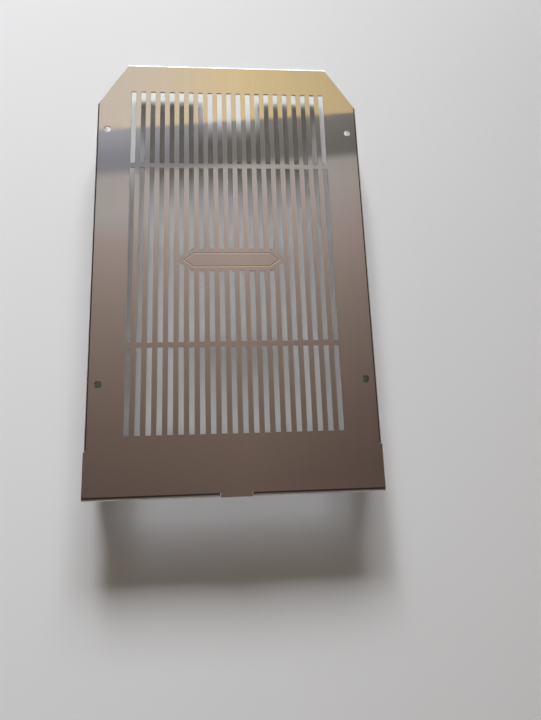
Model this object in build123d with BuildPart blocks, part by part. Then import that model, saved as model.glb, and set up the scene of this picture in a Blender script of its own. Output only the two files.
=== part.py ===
"""Motorcycle radiator guard: one stainless steel sheet, cut and folded, lying face up on its side flanges.

All sizes are millimetres. X runs across the guard, +Y towards its top flange, +Z out of its front face.
The origin is under the middle of the guard, on the surface that its side flanges stand on.
"""

import os
from math import atan2, degrees

from build123d import *

# Sheet
sheet = 1.5
bend_inner = 0.7
lip_bend_inner = 2.0

# Outline of the front face
width = 248.0
length = 410.0
chamfer_width = 28.0
chamfer_length = 44.0
chamfer_step = 1.2

# Folds
depth = 40.0
top_flange_depth = 35.0
lip_depth = 10.0
side_flange_rise = 40.0
tab_width = 26.0
relief_width = 0.3
notch_width = 57.0
notch_height = 13.0
corner_radius = 2.0

# Slots
slot_columns = 21
slot_width = 4.5
bar_width = 4.5
bridge_width = 4.5
slot_margin_bottom = 51.5
slot_margin_top = 30.0
low_row_length = 75.0
top_row_length = 76.5

# Blank plate left solid in the middle row, with an engraved border
plate_columns = 11
plate_height = 21.0
plate_point = 14.0
plate_drop = 8.0
border_inset = 3.5
groove_width = 1.2
groove_floor = 0.2
groove_depth = 0.1

# Bolt holes
hole_diameter = 6.6
hole_margin_side = 10.0
hole_margin_bottom = 95.5
hole_margin_top = 71.5

# Edges and fold lines
bend_outer = bend_inner + sheet
lip_bend_outer = lip_bend_inner + sheet
right = width / 2
top = length / 2
bottom = -length / 2
top_corner = right - chamfer_width
side_low = bottom + side_flange_rise
side_high = top - chamfer_length
lip_start = tab_width / 2 + relief_width
top_flange_foot = depth - top_flange_depth

# Slot rows, from the bottom row up
slot_pitch = slot_width + bar_width
low_row_near = bottom + slot_margin_bottom
low_row_far = low_row_near + low_row_length
top_row_far = top - slot_margin_top
top_row_near = top_row_far - top_row_length
middle_row_near = low_row_far + bridge_width
middle_row_far = top_row_near - bridge_width
slot_rows = [
    (low_row_near, low_row_far),
    (middle_row_near, middle_row_far),
    (top_row_near, top_row_far),
]

# Blank plate
plate_width = plate_columns * slot_pitch
plate_centre = (middle_row_near + middle_row_far) / 2 - plate_drop
plate_end = plate_width / 2
plate_half = plate_height / 2
plate_shoulder = plate_end - plate_point
plate_corners = [
    (plate_end, 0),
    (plate_shoulder, plate_half),
    (-plate_shoulder, plate_half),
    (-plate_end, 0),
    (-plate_shoulder, -plate_half),
    (plate_shoulder, -plate_half),
]
groove_taper = degrees(atan2((groove_width - groove_floor) / 2, groove_depth))


def fold_section(plane, leg, inner):
    """Section of a flange: a quarter bend and a straight leg, with the sharp outer corner at the plane's origin."""
    outer = inner + sheet
    with BuildSketch(plane) as section:
        with BuildLine():
            CenterArc((-outer, -outer), outer, 0, 90)
            Polyline((0, -outer), (0, -leg), (-sheet, -leg), (-sheet, -outer))
            CenterArc((-outer, -outer), inner, 0, 90)
            Line((-outer, -sheet), (-outer, 0))
        make_face()
    return section.sketch


with BuildPart() as guard_sheet:
    # Front face, up to the lines where the folds begin
    with BuildSketch(Plane.XY.offset(depth - sheet)):
        with BuildLine():
            Polyline(
                (0, bottom),
                (tab_width / 2, bottom),
                (tab_width / 2, bottom + lip_bend_outer),
                (right, bottom + lip_bend_outer),
                (right, side_low - relief_width),
                (right - bend_outer, side_low - relief_width),
                (right - bend_outer, side_high),
                (right - chamfer_step, side_high),
                (top_corner, top - bend_outer),
                (0, top - bend_outer),
            )
            mirror(about=Plane.YZ)
        make_face()
    extrude(amount=sheet)

    # Top flange, folded down along the whole top edge, with its foot clear of the ground
    top_plane = Plane(origin=(-top_corner, top, depth), x_dir=(0, 1, 0), z_dir=(1, 0, 0))
    extrude(fold_section(top_plane, top_flange_depth, bend_inner), amount=2 * top_corner)

    # Side flanges, which stop short of the bottom edge
    side_plane = Plane(origin=(right, side_high, depth), x_dir=(1, 0, 0), z_dir=(0, -1, 0))
    side_flange = extrude(fold_section(side_plane, depth, bend_inner), amount=side_high - side_low)
    mirror(side_flange, about=Plane.YZ)

    # Bottom lips, one on each side of the flat tab, folded over a rounder edge than the flanges
    lip_plane = Plane(origin=(right, bottom, depth), x_dir=(0, -1, 0), z_dir=(-1, 0, 0))
    lip = extrude(fold_section(lip_plane, lip_depth, lip_bend_inner), amount=right - lip_start)
    mirror(lip, about=Plane.YZ)

    # Notch in the foot of the top flange
    with BuildSketch(Plane.XZ.offset(-top)):
        with Locations((0, top_flange_foot + notch_height / 2)):
            Rectangle(notch_width, notch_height)
    extrude(amount=sheet, mode=Mode.SUBTRACT)

    # Rounded corners on the free ends of the flanges and lips, and in the notch
    free_corners = guard_sheet.edges().filter_by(
        lambda edge: abs(edge.length - sheet) < sheet / 100 and edge.center().Z < depth - lip_bend_outer
    )
    fillet(free_corners, radius=corner_radius)

    # Air slots, interrupted by the blank plate, a long hexagon
    with BuildSketch(Plane.XY.offset(depth)):
        for near, far in slot_rows:
            with Locations((0, (near + far) / 2)):
                with GridLocations(slot_pitch, 0, slot_columns, 1):
                    Rectangle(slot_width, far - near)
        with Locations((0, plate_centre)):
            Polygon(*plate_corners, mode=Mode.SUBTRACT)
    extrude(amount=-sheet, mode=Mode.SUBTRACT)

    # Engraved border of the blank plate, a shallow groove with sloping walls
    with BuildSketch(Plane((0, plate_centre, depth))):
        Polygon(*plate_corners)
        offset(amount=-border_inset, kind=Kind.INTERSECTION, mode=Mode.REPLACE)
        offset(amount=-groove_width, kind=Kind.INTERSECTION, mode=Mode.SUBTRACT)
    extrude(amount=-groove_depth, taper=groove_taper, mode=Mode.SUBTRACT)

    # Four bolt holes beside the slots
    hole_low = bottom + hole_margin_bottom
    hole_high = top - hole_margin_top
    with Locations((0, (hole_low + hole_high) / 2, depth)):
        with GridLocations(width - 2 * hole_margin_side, hole_high - hole_low, 2, 2):
            Hole(hole_diameter / 2, depth=sheet)

guard_sheet.part.label = "guard_sheet"

os.makedirs("parts", exist_ok=True)
export_step(guard_sheet.part, "parts/guard_sheet.step")
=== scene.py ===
# %% [markdown]
# # A folded stainless radiator guard, dressed and lit
#
# The guard is one sheet of polished stainless steel, cut into a grille of upright slots and folded along
# its edges. Its shape is already finished in the frame that is loaded here, so this lesson is about looks:
# where the sheet is polished, where it is bare mill finish, how a laser leaves its cut edges, and how to
# light a mirror. A mirror has almost no colour of its own, so most of the picture is made by what it faces.

# %% Load the guard
import math

import bpy
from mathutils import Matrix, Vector


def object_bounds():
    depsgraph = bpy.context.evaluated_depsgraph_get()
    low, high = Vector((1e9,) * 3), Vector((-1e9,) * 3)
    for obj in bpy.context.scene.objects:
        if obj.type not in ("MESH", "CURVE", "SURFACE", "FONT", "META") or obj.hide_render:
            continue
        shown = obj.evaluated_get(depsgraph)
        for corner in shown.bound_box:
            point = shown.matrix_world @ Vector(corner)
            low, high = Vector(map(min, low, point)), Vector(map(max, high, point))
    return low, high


MM = 0.001

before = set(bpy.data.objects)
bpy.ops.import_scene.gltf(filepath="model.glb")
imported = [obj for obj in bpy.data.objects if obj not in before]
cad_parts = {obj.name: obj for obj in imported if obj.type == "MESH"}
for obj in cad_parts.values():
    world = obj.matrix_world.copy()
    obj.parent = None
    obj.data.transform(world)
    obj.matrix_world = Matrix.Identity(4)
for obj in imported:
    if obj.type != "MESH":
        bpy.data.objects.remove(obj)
cad_low, cad_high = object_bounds()
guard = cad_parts["guard_sheet"]
guard_top = cad_high.z
guard_bottom_edge = cad_low.y
print("guard size in mm:", [round(side / MM, 2) for side in cad_high - cad_low])

# %% [markdown]
# ## The camera
#
# The guard lies face up on a table, and the picture is taken by hand from above its bottom edge with a wide
# phone lens. Its place is given from the middle of the bottom edge, because that edge is easiest to measure
# from. With a sensor of 36 mm along the picture's long side, the lens is a little wider than 28 mm.

# %% Camera
CAMERA_FROM_EDGE = Vector((-6.699, 8.024, 457.183)) * MM
CAMERA_TURN_DEG = (13.141, -4.311, -2.016)
SENSOR_LONG_SIDE = 36.0
PICTURE_LONG_SIDE = 720
FOCAL_PIXELS = 544.1
NEAREST_SEEN = 0.01

camera_data = bpy.data.cameras.new("camera")
camera_data.sensor_width = SENSOR_LONG_SIDE
camera_data.lens = FOCAL_PIXELS / PICTURE_LONG_SIDE * SENSOR_LONG_SIDE
camera_data.clip_start = NEAREST_SEEN
camera = bpy.data.objects.new("camera", camera_data)
camera.location = Vector((0, guard_bottom_edge, guard_top)) + CAMERA_FROM_EDGE
camera.rotation_euler = [math.radians(angle) for angle in CAMERA_TURN_DEG]
bpy.context.scene.collection.objects.link(camera)
bpy.context.scene.camera = camera
print("lens in mm:", round(camera_data.lens, 2))

# %% [markdown]
# ## Writing shaders as sums
#
# A finish is easier to read as a formula than as a screen of boxes and wires. The small class below stands
# for one output of a node tree. Arithmetic on such outputs puts Math nodes into the tree, and the method
# `node` adds a node of any other kind.

# %% Shader arithmetic
class Wire:
    """One output of a shader tree, with arithmetic that adds Math nodes to that tree."""

    def __init__(self, tree, socket=None):
        self.tree = tree
        self.socket = socket

    def node(self, kind, settings=None, inputs=None, output=0):
        """Add a node: first its settings, then its sockets' values or links. Returns the chosen output."""
        made = self.tree.nodes.new(kind)
        for name, value in (settings or {}).items():
            if name == "stops":
                set_stops(made.color_ramp, value)
            else:
                setattr(made, name, value)
        for name, value in (inputs or {}).items():
            if isinstance(value, Wire):
                self.tree.links.new(value.socket, made.inputs[name])
            else:
                made.inputs[name].default_value = value
        return Wire(self.tree, made.outputs[output] if len(made.outputs) else None)

    def math(self, operation, *values):
        return self.node("ShaderNodeMath", {"operation": operation}, dict(enumerate(values)))

    def __add__(self, other):
        return self.math("ADD", self, other)

    __radd__ = __add__

    def __sub__(self, other):
        return self.math("SUBTRACT", self, other)

    def __rsub__(self, other):
        return self.math("SUBTRACT", other, self)

    def __mul__(self, other):
        return self.math("MULTIPLY", self, other)

    __rmul__ = __mul__

    def __truediv__(self, other):
        return self.math("DIVIDE", self, other)

    def __abs__(self):
        return self.math("ABSOLUTE", self)

    def clamp(self, low, high):
        return self.math("MINIMUM", self.math("MAXIMUM", self, low), high)

    def smooth_step(self, start, end):
        """0 before start, 1 after end, with a soft change between them."""
        settings = {"interpolation_type": "SMOOTHSTEP"}
        inputs = {"Value": self, "From Min": start, "From Max": end}
        return self.node("ShaderNodeMapRange", settings, inputs)

    def mix(self, first, second):
        """Blend two colours, with this output as the share of the second."""
        inputs = {0: self, 6: first, 7: second}
        return self.node("ShaderNodeMix", {"data_type": "RGBA"}, inputs, output=2)

    def parts(self):
        """The x, y and z of a vector."""
        split = self.node("ShaderNodeSeparateXYZ", inputs={"Vector": self}).socket.node
        return [Wire(self.tree, output) for output in split.outputs]


def set_stops(ramp, stops):
    """Give a colour ramp its stops, as (place, colour) pairs."""
    while len(ramp.elements) < len(stops):
        ramp.elements.new(1.0)
    for element, (place, colour) in zip(ramp.elements, stops):
        element.position = place
        element.color = colour


def grey(level):
    return (level, level, level, 1.0)


def new_finish(name):
    """A material with one Principled shader. Returns the material, its tree's start and the shader node."""
    material = bpy.data.materials.new(name)
    material.use_nodes = True
    return material, Wire(material.node_tree), material.node_tree.nodes["Principled BSDF"]


def feed(shader, **fields):
    """Link wires to the shader's sockets, named with underscores for spaces."""
    for name, wire in fields.items():
        socket = shader.inputs[name.replace("_", " ").title()]
        wire.tree.links.new(wire.socket, socket)


print("shader arithmetic ready")

# %% [markdown]
# ## The polished face
#
# The front of the sheet is polished almost to a mirror. Three things tell it from chrome: very fine lines
# left by the polishing belt, which ran along the guard; a slow waviness, because a thin sheet is never quite
# flat, which makes reflected edges wander; and faint hazy patches from hands and cleaning. The lines and the
# haze change the roughness and, a little, the colour. The waviness is a bump so small that only reflections
# show it, and the finest lines are a smaller one on top of it.

# %% Polished face
POLISHED_LIGHT = (0.745, 0.719, 0.698, 1.0)
POLISHED_DARK = (0.687, 0.661, 0.640, 1.0)
POLISHED_ROUGHNESS = 0.028
LINE_ROUGHNESS = 0.014
HAZE_ROUGHNESS = 0.030
ROUGHNESS_LIMITS = (0.015, 0.3)
BELT_LINE_SHARE = 0.6
HAZE_EDGE = (0.52, 0.78)
LINE_TONE = 0.5
HAZE_TONE = 0.3
SHEET_WAVE_SHARE = 0.75
WAVE_HEIGHT = 0.035 * MM
LINE_HEIGHT = 0.0003 * MM
NOISE_MIDDLE = 0.5

polished, start, shader = new_finish("polished_face")
place = start.node("ShaderNodeTexCoord", output="Object")


def stretched_noise(place, across, along, detail, seed):
    """Noise with its own scale across (X and Z) and along (Y) the guard, per metre."""
    stretch = {"Vector": place, "Scale": (across, along, across), "Location": (seed, seed, seed)}
    scaled = place.node("ShaderNodeMapping", inputs=stretch)
    return place.node("ShaderNodeTexNoise", inputs={"Vector": scaled, "Scale": 1.0, "Detail": detail})


belt_lines = stretched_noise(place, across=1400, along=9, detail=3, seed=3.1)
broad_lines = stretched_noise(place, across=260, along=4, detail=2, seed=7.7)
both_lines = belt_lines * BELT_LINE_SHARE + broad_lines * (1 - BELT_LINE_SHARE)
lines = (both_lines - NOISE_MIDDLE) * 2
haze = stretched_noise(place, across=22, along=16, detail=4, seed=1.9).smooth_step(*HAZE_EDGE)
roughness = POLISHED_ROUGHNESS + lines * LINE_ROUGHNESS + haze * HAZE_ROUGHNESS
tone = (NOISE_MIDDLE + lines * LINE_TONE + haze * HAZE_TONE).clamp(0, 1)

sheet_wave = stretched_noise(place, across=9, along=7, detail=1, seed=5.3)
bar_wave = stretched_noise(place, across=70, along=14, detail=1, seed=2.2)
waves = sheet_wave * SHEET_WAVE_SHARE + bar_wave * (1 - SHEET_WAVE_SHARE)
wave_bump = start.node("ShaderNodeBump", inputs={"Height": waves, "Distance": WAVE_HEIGHT})
line_inputs = {"Height": belt_lines, "Distance": LINE_HEIGHT, "Normal": wave_bump}
line_bump = start.node("ShaderNodeBump", inputs=line_inputs)

shader.inputs["Metallic"].default_value = 1.0
steel = tone.mix(POLISHED_LIGHT, POLISHED_DARK)
feed(shader, base_color=steel, roughness=roughness.clamp(*ROUGHNESS_LIMITS), normal=line_bump)
print("polished face:", len(polished.node_tree.nodes), "nodes")

# %% [markdown]
# ## The back of the sheet
#
# Only the front was polished. Behind it the sheet keeps the grey satin that it had from the mill, which
# scatters light enough to blur whatever is near. A fine grain in its colour and its bump, and broad clouds
# in its colour and its roughness, are all that it needs.

# %% Mill finish
MILL_LIGHT = (0.77, 0.735, 0.695, 1.0)
MILL_DARK = (0.69, 0.655, 0.615, 1.0)
MILL_ROUGHNESS = 0.24
CLOUD_ROUGHNESS = 0.12
GRAIN_SHARE = 0.5
GRAIN_HEIGHT = 0.004 * MM

mill, start, shader = new_finish("mill_finish")
place = start.node("ShaderNodeTexCoord", output="Object")
grain = stretched_noise(place, across=900, along=240, detail=3, seed=4.4)
cloud = stretched_noise(place, across=25, along=18, detail=3, seed=8.2)
satin = (grain * GRAIN_SHARE + cloud * (1 - GRAIN_SHARE)).mix(MILL_LIGHT, MILL_DARK)
grain_bump = start.node("ShaderNodeBump", inputs={"Height": grain, "Distance": GRAIN_HEIGHT})
shader.inputs["Metallic"].default_value = 1.0
feed(shader, base_color=satin, roughness=MILL_ROUGHNESS + cloud * CLOUD_ROUGHNESS, normal=grain_bump)
print("mill finish:", len(mill.node_tree.nodes), "nodes")

# %% [markdown]
# ## The cut edges
#
# A laser leaves the walls of the slots and the rim of the sheet duller and a little darker than its faces,
# with fine ridges that run through the thickness. On a wall 1.5 mm tall they only show close up, but
# without them the slots would look like folded mirrors.

# %% Cut edge
CUT_LIGHT = (0.66, 0.64, 0.62, 1.0)
CUT_DARK = (0.48, 0.46, 0.44, 1.0)
CUT_ROUGHNESS = 0.32
RIDGE_ROUGHNESS = 0.2
RIDGES_PER_METRE = (3200, 3200, 250)
RIDGE_DETAIL = 2.0
RIDGE_HEIGHT = 0.02 * MM

cut_edge, start, shader = new_finish("cut_edge")
place = start.node("ShaderNodeTexCoord", output="Object")
ridge_place = start.node("ShaderNodeMapping", inputs={"Vector": place, "Scale": RIDGES_PER_METRE})
ridge_inputs = {"Vector": ridge_place, "Scale": 1.0, "Detail": RIDGE_DETAIL}
ridges = start.node("ShaderNodeTexNoise", inputs=ridge_inputs)
ridge_bump = start.node("ShaderNodeBump", inputs={"Height": ridges, "Distance": RIDGE_HEIGHT})
cut_tone = ridges.mix(CUT_LIGHT, CUT_DARK)
shader.inputs["Metallic"].default_value = 1.0
feed(shader, base_color=cut_tone, roughness=CUT_ROUGHNESS + ridges * RIDGE_ROUGHNESS, normal=ridge_bump)
print("cut edge:", len(cut_edge.node_tree.nodes), "nodes")

# %% [markdown]
# ## Which face has which finish
#
# A sheet tells its own faces apart: straight through a face of the sheet there is another face one
# thickness away, but behind a cut edge there is metal for much further. So each face is probed inwards. The
# faces of the sheet are then sorted by whether they look out of the guard or into the space behind it.

# %% Sort the faces
SHEET = 1.5 * MM
PROBE_START = 0.01 * MM
PROBE_REACH = 1.2 * SHEET
INSIDE = 6.0 * MM
FINISHES = [polished, mill, cut_edge]


def faces_outwards(face):
    """Whether a face of the sheet looks away from the space that the guard encloses."""
    inner = Vector((
        min(max(face.center.x, cad_low.x + INSIDE), cad_high.x - INSIDE),
        min(max(face.center.y, cad_low.y + INSIDE), cad_high.y - INSIDE),
        min(face.center.z, cad_high.z - INSIDE),
    ))
    return (face.center - inner).dot(face.normal) > 0


def is_sheet_face(face):
    """Whether the sheet's other face lies one thickness behind this one."""
    hit, point = guard.ray_cast(face.center - face.normal * PROBE_START, -face.normal)[:2]
    return hit and (point - face.center).length < PROBE_REACH


guard.data.materials.clear()
for finish in FINISHES:
    guard.data.materials.append(finish)
for face in guard.data.polygons:
    if not is_sheet_face(face):
        finish = cut_edge
    elif faces_outwards(face):
        finish = polished
    else:
        finish = mill
    face.material_index = FINISHES.index(finish)
counts = {finish.name: sum(face.material_index == i for face in guard.data.polygons)
          for i, finish in enumerate(FINISHES)}
print("faces by finish:", counts)

# %% [markdown]
# ## The table
#
# The table is a plain pale top, broad enough to fill the picture. It is nearly matt, so that the far end
# doesn't glare, and a very faint mottle keeps it from looking like a blank.

# %% Table
TABLE_COLOUR = (0.84, 0.84, 0.84, 1.0)
TABLE_SHADE = (0.815, 0.815, 0.82, 1.0)
TABLE_HALF = 0.75
TABLE_ROUGHNESS = 0.6
TABLE_SHEEN = 0.10
MOTTLE_PER_METRE = 7.0
MOTTLE_DETAIL = 3.0

bpy.ops.object.select_all(action="DESELECT")
bpy.ops.mesh.primitive_plane_add(size=2 * TABLE_HALF)
table = bpy.context.object
table.name = "table"
table_top, start, shader = new_finish("table_top")
place = start.node("ShaderNodeTexCoord", output="Object")
mottle_inputs = {"Vector": place, "Scale": MOTTLE_PER_METRE, "Detail": MOTTLE_DETAIL}
mottle = start.node("ShaderNodeTexNoise", inputs=mottle_inputs)
feed(shader, base_color=mottle.mix(TABLE_COLOUR, TABLE_SHADE))
shader.inputs["Roughness"].default_value = TABLE_ROUGHNESS
shader.inputs["Specular IOR Level"].default_value = TABLE_SHEEN
table.data.materials.append(table_top)
print("table half width in m:", TABLE_HALF)

# %% [markdown]
# ## The backdrop
#
# Around the table stands a plain pale backdrop that only the camera sees. The guard mirrors its
# surroundings, and it needs quiet darker sides to reflect, because those draw its folded edges. So what it
# mirrors is made apart from what stands behind it.

# %% Backdrop
BACKDROP_RADIUS = 9.0
BACKDROP_SEGMENTS = 48
BACKDROP_RINGS = 24
BACKDROP_LEVEL = 0.72

bpy.ops.object.select_all(action="DESELECT")
bpy.ops.mesh.primitive_uv_sphere_add(segments=BACKDROP_SEGMENTS, ring_count=BACKDROP_RINGS,
                                     radius=BACKDROP_RADIUS)
backdrop = bpy.context.object
backdrop.name = "backdrop"
backdrop_paper, start, shader = new_finish("backdrop_paper")
shader.inputs["Base Color"].default_value = grey(0)
shader.inputs["Specular IOR Level"].default_value = 0
shader.inputs["Emission Color"].default_value = grey(BACKDROP_LEVEL)
shader.inputs["Emission Strength"].default_value = 1
backdrop.data.materials.append(backdrop_paper)
backdrop.visible_diffuse = False
backdrop.visible_glossy = False
backdrop.visible_transmission = False
backdrop.visible_shadow = False
print("backdrop radius in m:", BACKDROP_RADIUS)

# %% [markdown]
# ## Light
#
# Two large soft boxes stand side by side beyond the top of the guard, low enough to throw a shadow more than
# twice as long as the guard is deep. The left one is narrower and brighter, so the shadow is crisper on the
# left and has a fainter second edge on the right. Grids narrow their beams, which are aimed to the left of
# the guard's middle, so the table falls off towards the near right. A mirror would show the boxes as blank
# white patches, so the metal doesn't see them. It sees a low bright strip on the far side instead, which the
# bend along the top edge gathers into a fine white line, and which casts no light on the table.

# %% Soft boxes
LEFT_BOX_PLACE = Vector((-0.50, 3.3, 1.48))
LEFT_BOX_AIM = Vector((-0.45, 0.25, 0))
LEFT_BOX_WIDTH = 0.70
LEFT_BOX_POWER = 15.2
RIGHT_BOX_PLACE = Vector((0.42, 3.3, 1.48))
RIGHT_BOX_AIM = Vector((-0.40, 0.25, 0))
RIGHT_BOX_WIDTH = 1.14
RIGHT_BOX_POWER = 11.6
SOFT_BOX_HEIGHT = 0.90
SOFT_BOX_SPREAD_DEG = 60
SOFT_BOX_COLOUR = (0.94, 0.965, 1.0)
BRIGHT_STRIP_PLACE = Vector((0.05, 3.3, 0.33))
BRIGHT_STRIP_AIM = Vector((0, 0, 0))
BRIGHT_STRIP_WIDTH = 1.50
BRIGHT_STRIP_HEIGHT = 0.50
BRIGHT_STRIP_POWER = 40.0


def add_soft_box(name, place, aim, width, height, power):
    """An area light that faces its aim and that the camera doesn't see."""
    lamp = bpy.data.lights.new(name, "AREA")
    lamp.shape = "RECTANGLE"
    lamp.size = width
    lamp.size_y = height
    lamp.energy = power
    lamp.color = SOFT_BOX_COLOUR
    box = bpy.data.objects.new(name, lamp)
    box.location = place
    box.rotation_euler = (aim - place).to_track_quat("-Z", "Y").to_euler()
    box.visible_camera = False
    bpy.context.scene.collection.objects.link(box)
    return box


left_box = add_soft_box("left_box", LEFT_BOX_PLACE, LEFT_BOX_AIM, LEFT_BOX_WIDTH, SOFT_BOX_HEIGHT,
                        LEFT_BOX_POWER)
right_box = add_soft_box("right_box", RIGHT_BOX_PLACE, RIGHT_BOX_AIM, RIGHT_BOX_WIDTH, SOFT_BOX_HEIGHT,
                         RIGHT_BOX_POWER)
for box in (left_box, right_box):
    box.data.spread = math.radians(SOFT_BOX_SPREAD_DEG)
    box.visible_glossy = False
bright_strip = add_soft_box("bright_strip", BRIGHT_STRIP_PLACE, BRIGHT_STRIP_AIM, BRIGHT_STRIP_WIDTH,
                            BRIGHT_STRIP_HEIGHT, BRIGHT_STRIP_POWER)
bright_strip.visible_diffuse = False
print("left soft box distance in m:", round(LEFT_BOX_PLACE.length, 2))

# %% [markdown]
# ## What the face mirrors
#
# From above, the flat face mirrors the studio over and beyond the guard. Overhead hangs a dim warm cloth
# that grows lighter towards the far side, then comes a cooler grey strip, and below that a large warm card.
# Each is described by how far a direction leans away from straight up, so that it lies across the guard as
# a straight band, and each changes colour from left to right. A world shader is the simplest place for
# them, because nothing else in the scene has to know their distance.

# %% Cloth, strip and card
CLOTH = [
    (0.00, (0.158, 0.115, 0.096, 1)),
    (0.12, (0.203, 0.150, 0.126, 1)),
    (0.25, (0.280, 0.222, 0.189, 1)),
    (0.36, (0.365, 0.293, 0.258, 1)),
    (0.48, (0.494, 0.408, 0.376, 1)),
    (0.585, (0.557, 0.504, 0.475, 1)),
    (0.625, (0.525, 0.497, 0.474, 1)),
]
COOL_CLOTH = (0.588, 0.552, 0.532, 1)
COOL_CLOTH_EDGE = (0.48, 0.58)
STRIP_FOOT_LEFT = (0.355, 0.365, 0.410, 1)
STRIP_FOOT_RIGHT = (0.235, 0.227, 0.213, 1)
STRIP_HEAD_LEFT = (0.510, 0.525, 0.585, 1)
STRIP_HEAD_RIGHT = (0.290, 0.283, 0.262, 1)
STRIP_START = 0.643
STRIP_SOFTNESS = 0.012
STRIP_HEAD_START = 0.667
CARD_LEFT = (0.920, 0.820, 0.710, 1)
CARD_RIGHT = (0.876, 0.700, 0.391, 1)
CARD_START = 0.7450
CARD_SOFTNESS = 0.002
LEFT_TO_RIGHT = (-0.25, 0.08)
BAND_TILT = 0.10
LOWEST = 0.02

world = bpy.data.worlds.new("surroundings")
bpy.context.scene.world = world
world.use_nodes = True
start = Wire(world.node_tree)
across, along, up = start.node("ShaderNodeTexCoord", output="Generated").parts()
height = up.clamp(LOWEST, 1)
lean_across = across / height
lean = along / height - lean_across * BAND_TILT
to_right = lean_across.smooth_step(*LEFT_TO_RIGHT)

cloth = start.node("ShaderNodeValToRGB", {"stops": CLOTH}, {"Fac": lean})
cloth = ((1 - to_right) * lean.smooth_step(*COOL_CLOTH_EDGE)).mix(cloth, COOL_CLOTH)
strip_foot = to_right.mix(STRIP_FOOT_LEFT, STRIP_FOOT_RIGHT)
strip_head = to_right.mix(STRIP_HEAD_LEFT, STRIP_HEAD_RIGHT)
strip = lean.smooth_step(STRIP_HEAD_START, CARD_START).mix(strip_foot, strip_head)
card = to_right.mix(CARD_LEFT, CARD_RIGHT)
studio = lean.smooth_step(STRIP_START - STRIP_SOFTNESS, STRIP_START + STRIP_SOFTNESS).mix(cloth, strip)
studio = lean.smooth_step(CARD_START - CARD_SOFTNESS, CARD_START + CARD_SOFTNESS).mix(studio, card)
print("cloth, strip and card:", len(world.node_tree.nodes), "nodes")

# %% [markdown]
# ## What the folds mirror
#
# Dark cloths hang on both sides and behind the camera, and grow paler towards the foot of the walls. The
# bends mirror them as thin dark lines, which make a folded edge look crisp. The far wall under the card is a
# warm grey with two paler corners. Behind the camera the low wall and its corners are a darker grey, so that
# the face shows a soft change of tone from every side. The masks below use a direction's parts: across, to
# the right; along, to the far side; and up.

# %% Walls
DARK_CLOTH = (0.036, 0.030, 0.026, 1)
WALL_FOOT = (0.270, 0.228, 0.195, 1)
WALL_FOOT_FADE = (0.05, 0.60)
REAR_WALL = (0.200, 0.172, 0.149, 1)
REAR_CORNER_BACK = (0.05, 0.35)
REAR_CORNER_SIDE = (0.30, 0.55)
REAR_WALL_BACK = (0.62, 0.90)
SIDE_CLOTH_EDGE = (0.26, 0.36)
REAR_CLOTH_EDGE = (0.03, 0.20)
FAR_WALL = (0.430, 0.390, 0.352, 1)
FAR_WALL_NARROWING = 0.7
FAR_WALL_EDGE = (0.0, 0.3)
FAR_CORNER = (0.950, 0.920, 0.880, 1)
FAR_CORNER_AHEAD = (0.66, 0.84)
FAR_CORNER_SIDE = (0.18, 0.42)
CARD_FOOT = (1.0, 1.5)

sideways = abs(across)
behind = 0 - along
rear_corner = behind.smooth_step(*REAR_CORNER_BACK) * sideways.smooth_step(*REAR_CORNER_SIDE)
dark_cloth = up.smooth_step(*WALL_FOOT_FADE).mix(WALL_FOOT, DARK_CLOTH)
dark_cloth = rear_corner.mix(dark_cloth, REAR_WALL)
dark_cloth = behind.smooth_step(*REAR_WALL_BACK).mix(dark_cloth, REAR_WALL)
studio = sideways.smooth_step(*SIDE_CLOTH_EDGE).mix(studio, dark_cloth)
studio = behind.smooth_step(*REAR_CLOTH_EDGE).mix(studio, dark_cloth)

far_corner = along.smooth_step(*FAR_CORNER_AHEAD) * sideways.smooth_step(*FAR_CORNER_SIDE)
ahead = along - FAR_WALL_NARROWING * sideways
far_wall = ahead.smooth_step(*FAR_WALL_EDGE).mix(dark_cloth, FAR_WALL)
far_wall = far_corner.mix(far_wall, FAR_CORNER)
studio = lean.smooth_step(*CARD_FOOT).mix(studio, far_wall)
print("with the walls:", len(world.node_tree.nodes), "nodes")

# %% [markdown]
# ## Fall-off across the studio
#
# Real cloths and cards are lit best near the middle. The whole studio is therefore scaled by two slopes that
# meet there, the lower of which holds, so that the face grows a little darker towards both sides.

# %% Fall-off
GLOW_FROM_LEFT = 1.010
GLOW_SLOPE_LEFT = 0.68
GLOW_FROM_RIGHT = 1.064
GLOW_LIMITS = (0.77, 1.03)

rising = GLOW_FROM_LEFT + GLOW_SLOPE_LEFT * lean_across
falling = GLOW_FROM_RIGHT - lean_across
glow = start.math("MINIMUM", rising, falling).clamp(*GLOW_LIMITS)
studio = start.node("ShaderNodeVectorMath", {"operation": "SCALE"}, {"Vector": studio, "Scale": glow})
background = world.node_tree.nodes["Background"]
world.node_tree.links.new(studio.socket, background.inputs["Color"])
print("surroundings:", len(world.node_tree.nodes), "nodes")

# %% [markdown]
# ## The view transform
#
# The picture is shown with Blender's Standard view transform.

# %% View transform
bpy.context.scene.view_settings.view_transform = "Standard"
